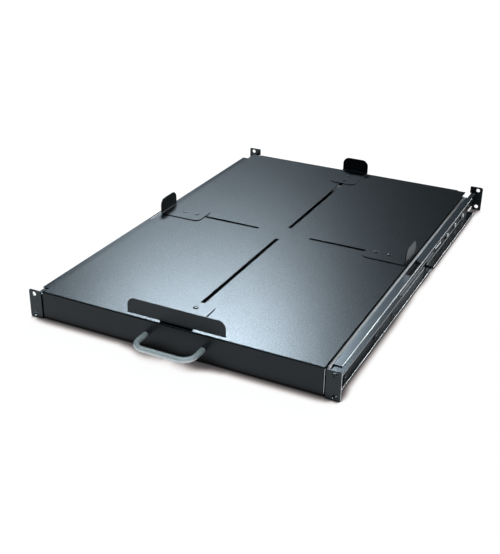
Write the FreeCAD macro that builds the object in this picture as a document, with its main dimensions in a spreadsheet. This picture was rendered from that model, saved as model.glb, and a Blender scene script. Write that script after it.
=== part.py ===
import FreeCAD, Part
import os
import re

import Sketcher

# Sliding shelf, one unit tall, for a 19 inch rack. Millimetres. The origin is the middle of the front
# mounting holes on the front face of the front ears: +X to the right, +Y to the back, +Z up.

SIZES = {
    # Rack interface: standard hole grid of one unit, and the depth over the ears
    "hole_span": 465.1,
    "hole_rise": 31.75,
    "ear_side_margin": 8.75,
    "ear_end_margin": 5.975,
    "ear_round": 2.5,
    "ear_hole": 7.0,
    "rail_depth": 718.0,
    # Main rail: channel, open to the outside, that carries the slide on its web
    "web_inset": 12.55,
    "rail_height": 38.6,
    "rail_sink": 2.0,
    "rail_gauge": 1.5,
    "rail_flange": 13.3,
    "rail_start": 22.0,
    "rail_end_inset": 50.0,
    "bend_inside": 1.0,
    "window_setback": 105.0,
    "window_length": 52.0,
    "window_inset": 2.6,
    "window_width": 9.2,
    # Front and rear brackets: channels with an ear, nested in the main rail
    "bracket_gauge": 1.8,
    "nest_gap": 0.2,
    "front_end_inset": 303.0,
    "front_wide_reach": 20.2,
    "front_step_reach": 15.6,
    "front_slim_reach": 13.9,
    "front_hidden_reach": 11.0,
    "step_start": 245.0,
    "port_at": 252.0,
    "port_drop": 11.0,
    "port_bore": 9.0,
    "rear_start_inset": 289.0,
    "rear_top_inset": 68.0,
    "rear_base_inset": 28.0,
    "rear_top_reach": 12.2,
    "rear_tab_reach": 15.6,
    "rear_tab_length": 30.0,
    "rear_base_reach": 15.4,
    "neck_rise": 11.0,
    "neck_reach": 8.0,
    "neck_lip": 6.5,
    "ear_tuck": 2.0,
    "ear_lap": 0.4,
    # Screws that hold the brackets, and the slot that lets the rear bracket slide
    "front_screw_first": 60.0,
    "front_screw_pitch": 120.0,
    "adjust_travel": 80.0,
    "adjust_inset": 170.0,
    "adjust_pitch": 50.0,
    "adjust_drop": 11.0,
    "adjust_slot": 5.0,
    "screw_shank": 4.0,
    "screw_play": 0.16,
    "screw_head": 8.4,
    "screw_head_rise": 2.4,
    "rivet_first": 80.0,
    "rivet_pitch": 165.0,
    "rivet_rise": 6.0,
    "rivet_shank": 4.8,
    # Three-member ball-bearing slide
    "slide_start": 14.0,
    "slide_rear_gap": 13.0,
    "slide_height": 35.0,
    "slide_thick": 12.7,
    "outer_gauge": 1.3,
    "outer_round": 2.0,
    "middle_gauge": 1.2,
    "inner_gauge": 1.2,
    "lip_drop": 2.3,
    "lip_play": 0.9,
    "cage_room": 0.7,
    "cage_gauge": 0.4,
    "cage_play": 0.15,
    "cage_length": 300.0,
    "cage_setback": 166.0,
    "outer_ball": 4.0,
    "outer_ball_inset": 5.0,
    "inner_ball": 3.0,
    "inner_ball_inset": 6.2,
    "ball_play": 0.1,
    "ball_pitch": 42.0,
    "member_inset": 2.0,
    "stop_tab_rise": 16.0,
    "stop_tab_reach": 9.0,
    "bumper_thick": 4.0,
    "bumper_rise": 13.0,
    "bumper_width": 6.5,
    "bumper_gap": 0.4,
    # Tray: one folded sheet, with the front panel on its front fold
    "tray_side_gap": 3.0,
    "tray_rear_gap": 31.0,
    "tray_rise": 21.8,
    "tray_gauge": 1.5,
    "front_fold": 28.0,
    "rear_fold": 34.0,
    "rear_fold_inset": 15.0,
    "panel_overhang": 2.0,
    "panel_height": 40.4,
    "panel_seam": 0.6,
    "panel_hem": 12.0,
    "panel_return": 10.0,
    "slot_width": 6.5,
    "slot_slack": 1.5,
    "cross_shift": 10.5,
    "cross_front": 28.0,
    "cross_rear": 27.0,
    "cross_side": 49.0,
    # Channels welded under the tray, to which the slides are screwed
    "channel_height": 33.0,
    "channel_top": 16.0,
    "channel_base": 12.0,
    "channel_inset": 8.0,
    "slide_screw_first": 60.0,
    "slide_screw_head": 7.0,
    "slide_screw_rise": 2.0,
    # Stops: bent plates that clamp through the slots
    "stop_width": 50.0,
    "stop_length": 73.0,
    "stop_height": 26.0,
    "stop_gauge": 1.5,
    "stop_round": 12.0,
    "foot_round": 10.0,
    "bar_width": 152.0,
    "bar_lift": 2.6,
    "near_screw": 34.0,
    "far_screw": 56.0,
    "front_stop_at": 5.0,
    "rear_stop_inset": 0.5,
    "left_stop_inset": -2.5,
    "right_stop_inset": 1.0,
    "clamp_width": 16.0,
    "clamp_gauge": 2.0,
    "clamp_margin": 5.0,
    "stop_head": 7.6,
    "stop_head_rise": 1.6,
    # Pull handle: bent round rod
    "handle_span": 88.9,
    "handle_reach": 36.5,
    "handle_rod": 8.0,
    "handle_bend": 18.0,
    "handle_thread": 12.0,
}

FRONT_SCREWS = 2
ADJUST_SCREWS = 3
RIVETS = 4
BALLS_IN_ROW = 7
SLIDE_SCREWS = 5
SIDES = (("left", -1), ("right", 1))

# Sizes that follow from those of the sheet
DERIVED = {
    "ear_span": "(hole_span + 2*ear_side_margin)",
    "ear_height": "(hole_rise + 2*ear_end_margin)",
    "web_span": "(hole_span - 2*web_inset)",
    "tray_width": "(web_span - 2*tray_side_gap)",
    "tray_depth": "(rail_depth - tray_rear_gap)",
    "panel_width": "(tray_width + 2*panel_overhang)",
    "rear_fold_width": "(tray_width - 2*rear_fold_inset)",
    "side_slot_at": "(tray_depth/2 + cross_shift)",
    "rail_end": "(rail_depth - rail_end_inset)",
    "front_end": "(rail_depth - front_end_inset)",
    "window_start": "(rail_depth - front_end_inset - window_setback)",
    "rear_start": "(rail_depth - rear_start_inset)",
    "rear_top_end": "(rail_depth - rear_top_inset)",
    "rear_base_end": "(rail_depth - rear_base_inset)",
    "adjust_first": "(rail_depth - adjust_inset)",
    "slide_length": "(tray_depth - slide_start - slide_rear_gap)",
    "slide_screw_pitch": f"((tray_depth - 2*slide_screw_first)/{SLIDE_SCREWS - 1})",
}

doc = FreeCAD.newDocument("SlidingRackShelf")
sheet = doc.addObject("Spreadsheet::Sheet", "Sizes")
for row, (alias, number) in enumerate(SIZES.items(), start=1):
    sheet.set(f"A{row}", alias)
    sheet.set(f"B{row}", str(number))
    sheet.setAlias(f"B{row}", alias)
doc.recompute()

pieces = []


def bind(text):
    """Expression in which each size points at its cell of the sheet."""
    def cell(word):
        name = word.group()
        return bind(DERIVED[name]) if name in DERIVED else "Sizes." + name
    return re.sub(r"[a-z]\w*", cell, text)


def size(text):
    """Present value of an expression in the sheet's sizes."""
    return float(sheet.evalExpression(bind(text)))


def new_body(label):
    """Empty body for one piece, listed for writing."""
    body = doc.addObject("PartDesign::Body", label)
    body.Label = label
    pieces.append(body)
    return body


def new_group(label, solids):
    """Several like solids, such as a set of screws, as one piece."""
    group = doc.addObject("Part::Feature", label)
    group.Label = label
    group.Shape = Part.makeCompound(solids)
    pieces.append(group)
    return group


def drive(sketch, kind, geometry, point, text):
    """Constraint, measured from the sketch's origin, that follows the sheet."""
    if kind in ("Radius", "Diameter"):
        rule = Sketcher.Constraint(kind, geometry, size(text))
    else:
        rule = Sketcher.Constraint(kind, -1, 1, geometry, point, size(text))
    index = sketch.addConstraint(rule)
    sketch.setExpression(f"Constraints[{index}]", bind(text))


def draw_circle(sketch, across, along, diameter):
    centre = FreeCAD.Vector(size(across), size(along), 0)
    ring = sketch.addGeometry(Part.Circle(centre, FreeCAD.Vector(0, 0, 1), size(diameter) / 2))
    drive(sketch, "DistanceX", ring, 3, across)
    drive(sketch, "DistanceY", ring, 3, along)
    drive(sketch, "Diameter", ring, 0, diameter)


def draw_outline(sketch, corners, closed=True):
    """Outline of level and upright edges, or an open path. A corner's third entry is its radius."""
    points = [FreeCAD.Vector(size(corner[0]), size(corner[1]), 0) for corner in corners]
    radii = [corner[2] if len(corner) > 2 else None for corner in corners]
    reach = [size(radius) if radius else 0.0 for radius in radii]
    lines = []
    for index, start in enumerate(points if closed else points[:-1]):
        following = (index + 1) % len(points)
        step = points[following] - start
        level = abs(step.x) > abs(step.y)
        step.normalize()
        first = start + step * reach[index]
        last = points[following] - step * reach[following]
        line = sketch.addGeometry(Part.LineSegment(first, last))
        sketch.addConstraint(Sketcher.Constraint("Horizontal" if level else "Vertical", line))
        drive(sketch, "DistanceY" if level else "DistanceX", line, 1, corners[index][1 if level else 0])
        lines.append(line)
    if not closed:
        drive(sketch, "DistanceY", lines[0], 1, corners[0][1])
        drive(sketch, "DistanceY", lines[-1], 2, corners[-1][1])
    for index, corner in enumerate(points):
        if not closed and index in (0, len(points) - 1):
            continue
        before = lines[index - 1]
        after = lines[index]
        if not radii[index]:
            sketch.addConstraint(Sketcher.Constraint("Coincident", before, 2, after, 1))
            continue
        entry = sketch.getPoint(before, 2)
        leaving = sketch.getPoint(after, 1)
        centre = entry + leaving - corner
        outward = corner - centre
        outward.normalize()
        arc = sketch.addGeometry(Part.Arc(entry, centre + outward * reach[index], leaving))
        forward = sketch.getPoint(arc, 1).isEqual(entry, 1e-6)
        near, far = (1, 2) if forward else (2, 1)
        sketch.addConstraint(Sketcher.Constraint("Tangent", before, 2, arc, near))
        sketch.addConstraint(Sketcher.Constraint("Tangent", arc, far, after, 1))
        drive(sketch, "Radius", arc, 0, radii[index])


def new_sketch(body, axis, at, shapes):
    """Sketch square to an axis: lists are outlines, tuples are circles."""
    role = {"x": "YZ_Plane", "y": "XZ_Plane", "z": "XY_Plane"}[axis]
    sketch = body.newObject("Sketcher::SketchObject", f"{body.Label}_sketch")
    plane = next(feature for feature in body.Origin.OriginFeatures if feature.Role == role)
    sketch.AttachmentSupport = [(plane, "")]
    sketch.MapMode = "FlatFace"
    sketch.setExpression("AttachmentOffset.Base.z", bind(f"-({at})" if axis == "y" else at))
    for shape in shapes:
        if isinstance(shape, list):
            draw_outline(sketch, shape)
        else:
            draw_circle(sketch, *shape)
    return sketch


def extrude(body, axis, start, end, *shapes):
    """Add material from start to end along an axis. Sketches square to Y face the front."""
    sketch = new_sketch(body, axis, end if axis == "y" else start, shapes)
    feature = body.newObject("PartDesign::Pad", f"{body.Label}_pad")
    feature.Profile = sketch
    feature.setExpression("Length", bind(f"({end}) - ({start})"))
    doc.recompute()


def cut(body, axis, way, *shapes, at="0", depth=None):
    """Cut from a plane along an axis: way 1 or -1, or 0 for both; right through or to a depth."""
    volume = body.Shape.Volume
    feature = body.newObject("PartDesign::Pocket", f"{body.Label}_cut")
    feature.Profile = new_sketch(body, axis, at, shapes)
    if depth:
        feature.setExpression("Length", bind(depth))
    else:
        feature.Type = "ThroughAll"
    if way == 0:
        feature.SideType = "Symmetric"
    else:
        feature.Reversed = way > 0 if axis != "y" else way < 0
    doc.recompute()
    if body.Shape.Volume >= volume:
        raise ValueError(f"{body.Label}: the cut takes nothing away")


def slot(start, end, level, width, lengthwise):
    """Rectangle and end circles of a slot, as two lots of shapes."""
    sides = (f"({level}) - {width}/2", f"({level}) + {width}/2")
    box = [(start, sides[0]), (end, sides[0]), (end, sides[1]), (start, sides[1])]
    ends = [(start, level, width), (end, level, width)]
    if not lengthwise:
        box = [(across, along) for along, across in box]
        ends = [(across, along, bore) for along, across, bore in ends]
    return box, ends


def turned_rod(seat, way, stages):
    """Round solid along a direction: stages are pairs of diameter and length."""
    solid = None
    for diameter, length in stages:
        stage = Part.makeCylinder(diameter / 2, length, seat, way)
        solid = stage if solid is None else solid.fuse(stage)
        seat = seat + way * length
    return solid.removeSplitter()


def screw_set(label, seats, way, head, rise, length):
    """Screws whose heads sit on the given points, with shanks along a direction."""
    solids = []
    for seat in seats:
        top = seat - way * size(rise)
        stages = ((size(head), size(rise)), (size("screw_shank"), size(length)))
        solids.append(turned_rod(top, way, stages))
    return new_group(label, solids)


# Heights shared by the rails, the brackets and the slides
rail_top = "(rail_height/2 - rail_sink)"
rail_base = "(-rail_height/2 - rail_sink)"
nest = "rail_gauge"
bracket_top = f"({rail_top} - rail_gauge - nest_gap)"
bracket_base = f"({rail_base} + rail_gauge + nest_gap)"
bracket_bend = "(bend_inside + bracket_gauge)"
bracket_back = f"({nest} + bracket_gauge)"
screw_bore = "(screw_shank + screw_play)"

outer_floor = "(slide_height/2 - outer_gauge)"
outer_ball_level = f"({outer_floor} - ball_play - outer_ball/2)"
middle_half = f"({outer_ball_level} - outer_ball/2 - ball_play)"
middle_floor = f"({middle_half} - middle_gauge)"
inner_ball_level = f"({middle_floor} - ball_play - inner_ball/2)"
inner_half = f"({inner_ball_level} - inner_ball/2 - ball_play)"
outer_lip = "(outer_ball_inset + outer_ball/2 + lip_play)"
middle_lip = "(inner_ball_inset + inner_ball/2 + lip_play)"
middle_web = "(outer_gauge + cage_room)"
slide_end = "(slide_start + slide_length)"
member_start = "(slide_start + member_inset)"
member_end = f"({slide_end} - outer_gauge - bumper_thick - bumper_gap)"

tray_under = "(tray_rise - tray_gauge)"
panel_top = "(tray_rise - panel_seam)"
panel_base = f"({panel_top} - panel_height)"
tray_bend = "(bend_inside + tray_gauge)"
channel_face = "(web_span/2 - slide_thick)"
channel_low = f"({tray_under} - channel_height)"


def outside(sign, distance):
    """Place of a point that lies outside the main rail's inner face, on one side."""
    return f"{sign}*(web_span/2 + {distance})"


def inside(sign, distance):
    """Place of a point that lies inside the main rail's inner face, on one side."""
    return f"{sign}*(web_span/2 - {distance})"


def channel(sign, near, gauge, top, base, top_reach, base_reach):
    """Section of a bent channel, open to the outside of the shelf."""
    bend = f"bend_inside + {gauge}"
    back = outside(sign, f"({near} + {gauge})")
    return [
        (outside(sign, near), top, bend),
        (outside(sign, top_reach), top),
        (outside(sign, top_reach), f"{top} - {gauge}"),
        (back, f"{top} - {gauge}", "bend_inside"),
        (back, f"{base} + {gauge}", "bend_inside"),
        (outside(sign, base_reach), f"{base} + {gauge}"),
        (outside(sign, base_reach), base),
        (outside(sign, near), base, bend),
    ]


def angle(sign, top, base_reach):
    """Section of a bracket's web and lower flange only."""
    back = outside(sign, bracket_back)
    return [
        (outside(sign, nest), top),
        (back, top),
        (back, f"{bracket_base} + bracket_gauge", "bend_inside"),
        (outside(sign, base_reach), f"{bracket_base} + bracket_gauge"),
        (outside(sign, base_reach), bracket_base),
        (outside(sign, nest), bracket_base, bracket_bend),
    ]


def add_ear(body, sign, face, root, facing, low, high, tuck, tuck_base):
    """Ear bent outwards from the web: face is its outer face, root where the bend's web ends.
    The ear reaches inwards to the tuck above its base."""
    edge = f"{sign}*ear_span/2"
    back = f"{face} - ({facing})*bracket_gauge"
    fold = [
        (outside(sign, nest), face, bracket_bend),
        (edge, face),
        (edge, back),
        (outside(sign, bracket_back), back, "bend_inside"),
        (outside(sign, bracket_back), root),
        (outside(sign, nest), root),
    ]
    extrude(body, "z", low, high, fold)
    start, end = (back, face) if facing > 0 else (face, back)
    inner = outside(sign, f"({nest} + {bracket_bend})")
    tucked = outside(sign, tuck)
    plate = [
        (edge, "ear_height/2", "ear_round"),
        (edge, "-ear_height/2", "ear_round"),
    ]
    if tuck_base is None:
        plate.append((tucked, "-ear_height/2"))
    else:
        plate += [(inner, "-ear_height/2"), (inner, tuck_base), (tucked, tuck_base)]
    plate.append((tucked, "ear_height/2", "bend_inside"))
    extrude(body, "y", start, end, plate)
    holes = [(f"{sign}*hole_span/2", f"{up}*hole_rise/2", "ear_hole") for up in (-1, 1)]
    cut(body, "y", -facing, *holes, at=face, depth="2*bracket_gauge")


def adjust_seats(sign, distance):
    """Points along the rear bracket's slot, at a distance outside the main rail's inner face."""
    across = size(outside(sign, distance))
    places = [size(f"adjust_first + {number}*adjust_pitch") for number in range(ADJUST_SCREWS)]
    return [FreeCAD.Vector(across, along, size("-adjust_drop")) for along in places]


def window(sign, near):
    """Outline of the window in a flange, from a distance outside the main rail's inner face."""
    far = outside(sign, "(window_inset + window_width)")
    end = "window_start + window_length"
    return [
        (outside(sign, near), "window_start"),
        (far, "window_start"),
        (far, end),
        (outside(sign, near), end),
    ]


def make_main_rail(side, sign):
    """Channel with the slide on its inner face and the two brackets nested in it."""
    body = new_body(f"{side}_main_rail")
    section = channel(sign, "0", "rail_gauge", rail_top, rail_base, "rail_flange", "rail_flange")
    extrude(body, "y", "rail_start", "rail_end", section)
    cut(body, "z", 1, window(sign, "window_inset"))
    bores = [(f"rivet_first + {n}*rivet_pitch", "rivet_rise", "rivet_shank") for n in range(RIVETS)]
    for number in range(FRONT_SCREWS):
        bores.append((f"front_screw_first + {number}*front_screw_pitch", "-adjust_drop", screw_bore))
    for number in range(ADJUST_SCREWS):
        bores.append((f"adjust_first + {number}*adjust_pitch", "-adjust_drop", screw_bore))
    cut(body, "x", sign, *bores)


def make_front_bracket(side, sign):
    """Channel with the front ear. One pattern serves both sides: its wide flange is above on the right
    and, with the bracket turned over, below on the left."""
    body = new_body(f"{side}_front_bracket")
    lengths = (
        (bracket_bend, "step_start", "front_wide_reach"),
        ("step_start", "front_end", "front_step_reach"),
    )
    for start, end, wide in lengths:
        upper, lower = (wide, "front_slim_reach") if sign > 0 else ("front_hidden_reach", wide)
        section = channel(sign, nest, "bracket_gauge", bracket_top, bracket_base, upper, lower)
        extrude(body, "y", start, end, section)
    web_high = f"({bracket_top} - {bracket_bend})"
    add_ear(body, sign, "0", f"2*{bracket_bend}", -1,
            f"{bracket_base} + {bracket_bend}", web_high, "ear_lap", None)
    cut(body, "z", sign, window(sign, f"({bracket_back} + bend_inside)"))
    bores = [("port_at", "-port_drop", "port_bore")]
    for number in range(FRONT_SCREWS):
        bores.append((f"front_screw_first + {number}*front_screw_pitch", "-adjust_drop", screw_bore))
    cut(body, "x", sign, *bores)


def make_rear_bracket(side, sign):
    """Channel with the rear ear. It slides along the main rail to suit the depth of the rack."""
    body = new_body(f"{side}_rear_bracket")
    tab_end = "rear_start + rear_tab_length"
    lengths = (("rear_start", tab_end, "rear_tab_reach"), (tab_end, "rear_top_end", "rear_top_reach"))
    for start, end, reach in lengths:
        section = channel(sign, nest, "bracket_gauge", bracket_top, bracket_base, reach, "rear_base_reach")
        extrude(body, "y", start, end, section)
    neck = angle(sign, "neck_rise", "rear_base_reach")
    extrude(body, "y", "rear_top_end", "rear_base_end", neck)
    add_ear(body, sign, "rail_depth", f"rear_base_end - {bracket_bend}", 1,
            f"{bracket_base} + {bracket_bend}", "neck_rise", "(-ear_tuck)", "neck_rise - bracket_gauge")
    lip_back = outside(sign, "(neck_reach - bracket_gauge)")
    stiffener = [
        (outside(sign, nest), "neck_rise"),
        (outside(sign, "neck_reach"), "neck_rise", "bend_inside"),
        (outside(sign, "neck_reach"), "neck_rise - neck_lip"),
        (lip_back, "neck_rise - neck_lip"),
        (lip_back, "neck_rise - bracket_gauge"),
        (outside(sign, nest), "neck_rise - bracket_gauge"),
    ]
    extrude(body, "y", "rear_top_end", "rail_depth - bracket_gauge/2", stiffener)
    last = f"adjust_first + {ADJUST_SCREWS - 1}*adjust_pitch"
    box, ends = slot("adjust_first - adjust_travel", last, "-adjust_drop", "adjust_slot", True)
    cut(body, "x", sign, box)
    cut(body, "x", sign, *ends)


def make_rail_fasteners(side, sign):
    """Flush rivets that hold the slide, and screws that hold the brackets."""
    inwards = FreeCAD.Vector(-sign, 0, 0)
    rivets = []
    for number in range(RIVETS):
        along = size(f"rivet_first + {number}*rivet_pitch")
        seat = FreeCAD.Vector(size(outside(sign, "rail_gauge")), along, size("rivet_rise"))
        stages = ((size("rivet_shank - screw_play"), size("rail_gauge + outer_gauge")),)
        rivets.append(turned_rod(seat, inwards, stages))
    new_group(f"{side}_slide_rivets", rivets)
    heads = size(outside(sign, bracket_back))
    fixed = []
    for number in range(FRONT_SCREWS):
        along = size(f"front_screw_first + {number}*front_screw_pitch")
        fixed.append(FreeCAD.Vector(heads, along, size("-adjust_drop")))
    for label, seats in (("front_screws", fixed), ("adjust_screws", adjust_seats(sign, bracket_back))):
        screw_set(f"{side}_{label}", seats, inwards, "screw_head", "screw_head_rise", bracket_back)


def make_outer_slide(side, sign):
    """Outer member: channel, open to the tray, whose lips hold the outer balls."""
    body = new_body(f"{side}_outer_slide")
    tip = f"({outer_lip} + outer_gauge)"
    high = "(slide_height/2 - rail_sink)"
    low = "(-slide_height/2 - rail_sink)"
    section = [
        (inside(sign, "0"), high, "outer_round"),
        (inside(sign, tip), high, "outer_gauge"),
        (inside(sign, tip), f"{high} - outer_gauge - lip_drop"),
        (inside(sign, outer_lip), f"{high} - outer_gauge - lip_drop"),
        (inside(sign, outer_lip), f"{high} - outer_gauge"),
        (inside(sign, "outer_gauge"), f"{high} - outer_gauge"),
        (inside(sign, "outer_gauge"), f"{low} + outer_gauge"),
        (inside(sign, outer_lip), f"{low} + outer_gauge"),
        (inside(sign, outer_lip), f"{low} + outer_gauge + lip_drop"),
        (inside(sign, tip), f"{low} + outer_gauge + lip_drop"),
        (inside(sign, tip), low, "outer_gauge"),
        (inside(sign, "0"), low, "outer_round"),
    ]
    extrude(body, "y", "slide_start", slide_end, section)
    tab = [
        (inside(sign, "0"), "stop_tab_rise/2 - rail_sink"),
        (inside(sign, "stop_tab_reach"), "stop_tab_rise/2 - rail_sink", "outer_round"),
        (inside(sign, "stop_tab_reach"), "-stop_tab_rise/2 - rail_sink", "outer_round"),
        (inside(sign, "0"), "-stop_tab_rise/2 - rail_sink"),
    ]
    extrude(body, "y", f"{slide_end} - outer_gauge", slide_end, tab)
    bores = [(f"rivet_first + {n}*rivet_pitch", "rivet_rise", "rivet_shank") for n in range(RIVETS)]
    cut(body, "x", sign, *bores)


def make_bumper(side, sign):
    """Rubber pad on the outer member's rear tab, which the middle member meets when closed."""
    body = new_body(f"{side}_slide_bumper")
    near = inside(sign, middle_web)
    far = inside(sign, f"({middle_web} + bumper_width)")
    section = [
        (near, "bumper_rise/2 - rail_sink", "bend_inside"),
        (far, "bumper_rise/2 - rail_sink", "bend_inside"),
        (far, "-bumper_rise/2 - rail_sink", "bend_inside"),
        (near, "-bumper_rise/2 - rail_sink", "bend_inside"),
    ]
    extrude(body, "y", f"{slide_end} - outer_gauge - bumper_thick", f"{slide_end} - outer_gauge", section)


def make_middle_slide(side, sign):
    """Middle member: channel that runs on the outer balls and carries the inner balls."""
    body = new_body(f"{side}_middle_slide")
    tip = f"({middle_lip} + middle_gauge)"
    back = f"({middle_web} + middle_gauge)"
    corners = []
    for up in (1, -1):
        flange = [
            (inside(sign, middle_web), f"{up}*{middle_half} - rail_sink", "middle_gauge"),
            (inside(sign, tip), f"{up}*{middle_half} - rail_sink", "middle_gauge"),
            (inside(sign, tip), f"{up}*({middle_floor} - lip_drop) - rail_sink"),
            (inside(sign, middle_lip), f"{up}*({middle_floor} - lip_drop) - rail_sink"),
            (inside(sign, middle_lip), f"{up}*{middle_floor} - rail_sink"),
            (inside(sign, back), f"{up}*{middle_floor} - rail_sink"),
        ]
        corners += flange if up > 0 else flange[::-1]
    extrude(body, "y", member_start, member_end, corners)


def make_inner_slide(side, sign):
    """Inner member: channel, screwed to the tray's channel, that runs on the inner balls."""
    body = new_body(f"{side}_inner_slide")
    tip = "(inner_ball_inset - inner_ball/2 - ball_play)"
    web = "(slide_thick - inner_gauge)"
    section = [
        (inside(sign, "slide_thick"), f"{inner_half} - rail_sink", "inner_gauge"),
        (inside(sign, tip), f"{inner_half} - rail_sink"),
        (inside(sign, tip), f"{inner_half} - inner_gauge - rail_sink"),
        (inside(sign, web), f"{inner_half} - inner_gauge - rail_sink"),
        (inside(sign, web), f"-{inner_half} + inner_gauge - rail_sink"),
        (inside(sign, tip), f"-{inner_half} + inner_gauge - rail_sink"),
        (inside(sign, tip), f"-{inner_half} - rail_sink"),
        (inside(sign, "slide_thick"), f"-{inner_half} - rail_sink", "inner_gauge"),
    ]
    extrude(body, "y", member_start, member_end, section)
    cut(body, "x", sign, *slide_screw_bores())


def slide_screw_bores():
    """Row of screw holes along the inner slide and the tray's channel."""
    places = [f"slide_screw_first + {number}*slide_screw_pitch" for number in range(SLIDE_SCREWS)]
    return [(along, "-rail_sink", screw_bore) for along in places]


def make_cage(label, sign, web, arm, level, ball, inset):
    """Thin strip, bent over at both edges, with the balls held in the holes of its arms."""
    body = new_body(f"{label}_cage")
    start = "(slide_start + cage_setback)"
    half = "cage_gauge/2"
    section = [
        (inside(sign, web), f"{level} + {half} - rail_sink"),
        (inside(sign, arm), f"{level} + {half} - rail_sink"),
        (inside(sign, arm), f"{level} - {half} - rail_sink"),
        (inside(sign, f"({web} + cage_gauge)"), f"{level} - {half} - rail_sink"),
        (inside(sign, f"({web} + cage_gauge)"), f"-{level} + {half} - rail_sink"),
        (inside(sign, arm), f"-{level} + {half} - rail_sink"),
        (inside(sign, arm), f"-{level} - {half} - rail_sink"),
        (inside(sign, web), f"-{level} - {half} - rail_sink"),
    ]
    extrude(body, "y", start, f"{start} + cage_length", section)
    margin = f"(cage_length - {BALLS_IN_ROW - 1}*ball_pitch)/2"
    places = [f"{start} + {margin} + {number}*ball_pitch" for number in range(BALLS_IN_ROW)]
    pocket = f"{ball} + 2*ball_play"
    cut(body, "z", 0, *[(inside(sign, inset), along, pocket) for along in places])
    balls = []
    for along in places:
        for up in (-1, 1):
            centre = FreeCAD.Vector(size(inside(sign, inset)), size(along), size(f"{up}*{level} - rail_sink"))
            balls.append(Part.makeSphere(size(ball) / 2, centre))
    new_group(f"{label}_balls", balls)


def make_tray():
    """Folded sheet: flat top with the four slots, front fold behind the panel, and rear fold."""
    body = new_body("shelf_tray")
    fold_start = f"tray_depth - 2*{tray_bend}"
    section = [
        ("tray_gauge", "tray_rise", tray_bend),
        (fold_start, "tray_rise"),
        (fold_start, tray_under),
        ("2*tray_gauge", tray_under, "bend_inside"),
        ("2*tray_gauge", "tray_rise - front_fold"),
        ("tray_gauge", "tray_rise - front_fold"),
    ]
    extrude(body, "x", "-tray_width/2", "tray_width/2", section)
    rear_fold = [
        (fold_start, "tray_rise"),
        ("tray_depth", "tray_rise", tray_bend),
        ("tray_depth", "tray_rise - rear_fold"),
        ("tray_depth - tray_gauge", "tray_rise - rear_fold"),
        ("tray_depth - tray_gauge", tray_under, "bend_inside"),
        (fold_start, tray_under),
    ]
    extrude(body, "x", "-rear_fold_width/2", "rear_fold_width/2", rear_fold)
    first = "front_stop_at + near_screw - slot_slack"
    last = "tray_depth - rear_stop_inset - near_screw + slot_slack"
    slots = [
        slot(first, "side_slot_at - cross_front", "0", "slot_width", False),
        slot("side_slot_at + cross_rear", last, "0", "slot_width", False),
    ]
    for side, sign in SIDES:
        outer_end = f"{sign}*(tray_width/2 - {side}_stop_inset - near_screw + slot_slack)"
        slots.append(slot(f"{sign}*cross_side", outer_end, "side_slot_at", "slot_width", True))
    cut(body, "z", 1, *[box for box, ends in slots])
    cut(body, "z", 1, *[end for box, ends in slots for end in ends])
    cut(body, "y", 1, *handle_bores(), depth="3*tray_gauge")


def handle_bores():
    """Holes for the handle's screws, through the panel and the tray's front fold."""
    return [(f"{sign}*handle_span/2", "0", screw_bore) for sign in (-1, 1)]


def make_panel():
    """Front panel: folded sheet with a hem below and a return at each end."""
    body = new_body("front_panel")
    section = [
        ("0", panel_top),
        ("tray_gauge", panel_top),
        ("tray_gauge", f"{panel_base} + tray_gauge", "bend_inside"),
        ("panel_hem", f"{panel_base} + tray_gauge"),
        ("panel_hem", panel_base),
        ("0", panel_base, tray_bend),
    ]
    extrude(body, "x", "-tray_width/2", "tray_width/2", section)
    for sign in (-1, 1):
        root = f"{sign}*(tray_width/2 - {tray_bend})"
        end = f"{sign}*panel_width/2"
        back = f"{sign}*(panel_width/2 - tray_gauge)"
        fold = [
            (root, "0"),
            (end, "0", tray_bend),
            (end, "panel_return"),
            (back, "panel_return"),
            (back, "tray_gauge", "bend_inside"),
            (root, "tray_gauge"),
        ]
        extrude(body, "z", f"{panel_base} + {tray_bend}", panel_top, fold)
    cut(body, "y", 1, *handle_bores(), depth="2*tray_gauge")


def make_tray_channel(side, sign):
    """Channel welded under the tray's edge. The inner slide is screwed to its web."""
    body = new_body(f"{side}_tray_channel")
    near = f"{sign}*{channel_face}"
    back = f"{sign}*({channel_face} - tray_gauge)"
    top_tip = f"{sign}*({channel_face} - channel_top)"
    base_tip = f"{sign}*({channel_face} - channel_base)"
    section = [
        (near, tray_under, tray_bend),
        (top_tip, tray_under),
        (top_tip, f"{tray_under} - tray_gauge"),
        (back, f"{tray_under} - tray_gauge", "bend_inside"),
        (back, f"{channel_low} + tray_gauge", "bend_inside"),
        (base_tip, f"{channel_low} + tray_gauge"),
        (base_tip, channel_low),
        (near, channel_low, tray_bend),
    ]
    extrude(body, "y", "channel_inset", "tray_depth - channel_inset", section)
    cut(body, "x", sign, *slide_screw_bores())
    seats = []
    for along, level, bore in slide_screw_bores():
        seats.append(FreeCAD.Vector(size(back), size(along), size(level)))
    screw_set(f"{side}_slide_screws", seats, FreeCAD.Vector(sign, 0, 0),
              "slide_screw_head", "slide_screw_rise", "tray_gauge + inner_gauge")


def make_handle():
    """Round rod bent to a U, with a thread in each end, and its two screws behind the panel."""
    body = new_body("pull_handle")
    half = "handle_span/2"
    profile = new_sketch(body, "y", "0", [(f"-{half}", "0", "handle_rod")])
    path = new_sketch(body, "z", "0", [])
    bends = [(f"{sign}*{half}", "-handle_reach", "handle_bend") for sign in (-1, 1)]
    draw_outline(path, [(f"-{half}", "0"), *bends, (half, "0")], closed=False)
    feature = body.newObject("PartDesign::AdditivePipe", "pull_handle_pipe")
    feature.Profile = profile
    feature.Spine = path
    doc.recompute()
    cut(body, "y", -1, *handle_bores(), depth="handle_thread")
    seats = [FreeCAD.Vector(size(f"{sign}*{half}"), size("2*tray_gauge"), 0) for sign in (-1, 1)]
    screw_set("handle_screws", seats, FreeCAD.Vector(0, -1, 0),
              "slide_screw_head", "slide_screw_rise", "handle_thread")


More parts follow.
